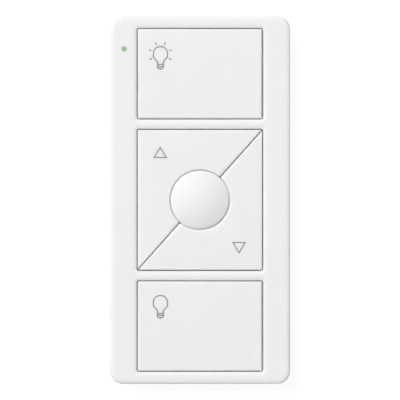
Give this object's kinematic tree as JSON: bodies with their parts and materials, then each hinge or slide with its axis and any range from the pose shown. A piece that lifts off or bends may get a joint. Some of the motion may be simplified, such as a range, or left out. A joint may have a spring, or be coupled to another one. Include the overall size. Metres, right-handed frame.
{
  "type": "wireless lighting remote",
  "caption": "Slim wireless lighting remote: bezel with rolled window lips, sprung on, off, raise, lower and round domed keys, a coin cell inside and a bracket slot in the back.",
  "frame": {"origin": "middle of the flat back, on the surface that the remote lies on", "axes": "+Z out of the key face, +Y towards the On key's end, +X to the right when facing the keys"},
  "size_m": [0.0322, 0.066, 0.0086],
  "materials": {
    "housing_plastic": "white moulded plastic, very fine satin texture",
    "key_plastic": "white moulded plastic, satin",
    "indicator_lens": "green translucent plastic, polished",
    "board_laminate": "green solder mask on glass laminate",
    "led_package": "white package with a clear lens",
    "switch_plastic": "black moulded plastic",
    "plunger_plastic": "natural nylon",
    "spring_steel": "bright stainless spring sheet",
    "screw_steel": "zinc-plated steel",
    "cell_steel": "nickel-plated steel, turned grain",
    "contact_steel": "nickel-plated spring steel",
    "chip_resin": "black moulded resin",
    "crystal_can": "bright metal can",
    "capacitor_ceramic": "tan ceramic with tinned ends"
  },
  "bodies": {
    "remote": {"front_housing": "housing_plastic", "rear_cover": "housing_plastic", "cover_screw": "screw_steel", "light_pipe": "indicator_lens", "circuit_board": "board_laminate", "indicator_led": "led_package", "coin_cell": "cell_steel", "cell_clip": "contact_steel", "negative_contact": "contact_steel", "microcontroller": "chip_resin", "radio_chip": "chip_resin", "crystal": "crystal_can", "chip_capacitors": "capacitor_ceramic", "on_switch": "switch_plastic", "raise_switch": "switch_plastic", "favorite_switch": "switch_plastic", "lower_switch": "switch_plastic", "off_switch": "switch_plastic", "on_dome_spring": "spring_steel", "raise_dome_spring": "spring_steel", "favorite_dome_spring": "spring_steel", "lower_dome_spring": "spring_steel", "off_dome_spring": "spring_steel"},
    "on_button": {"on_key": "key_plastic", "on_plunger": "plunger_plastic"},
    "raise_button": {"raise_key": "key_plastic", "raise_plunger": "plunger_plastic"},
    "favorite_button": {"favorite_key": "key_plastic", "favorite_plunger": "plunger_plastic"},
    "lower_button": {"lower_key": "key_plastic", "lower_plunger": "plunger_plastic"},
    "off_button": {"off_key": "key_plastic", "off_plunger": "plunger_plastic"}
  },
  "joints": [
    {"name": "on_press", "type": "slide", "parent": "remote", "child": "on_button", "axis": [0, 0, -1], "range_m": [0, 0.0004], "stiffness_N_per_m": 2000, "deforming": ["on_dome_spring"]},
    {"name": "raise_press", "type": "slide", "parent": "remote", "child": "raise_button", "axis": [0, 0, -1], "range_m": [0, 0.0004], "stiffness_N_per_m": 2000, "deforming": ["raise_dome_spring"]},
    {"name": "favorite_press", "type": "slide", "parent": "remote", "child": "favorite_button", "axis": [0, 0, -1], "range_m": [0, 0.0004], "stiffness_N_per_m": 2000, "deforming": ["favorite_dome_spring"]},
    {"name": "lower_press", "type": "slide", "parent": "remote", "child": "lower_button", "axis": [0, 0, -1], "range_m": [0, 0.0004], "stiffness_N_per_m": 2000, "deforming": ["lower_dome_spring"]},
    {"name": "off_press", "type": "slide", "parent": "remote", "child": "off_button", "axis": [0, 0, -1], "range_m": [0, 0.0004], "stiffness_N_per_m": 2000, "deforming": ["off_dome_spring"]}
  ]
}
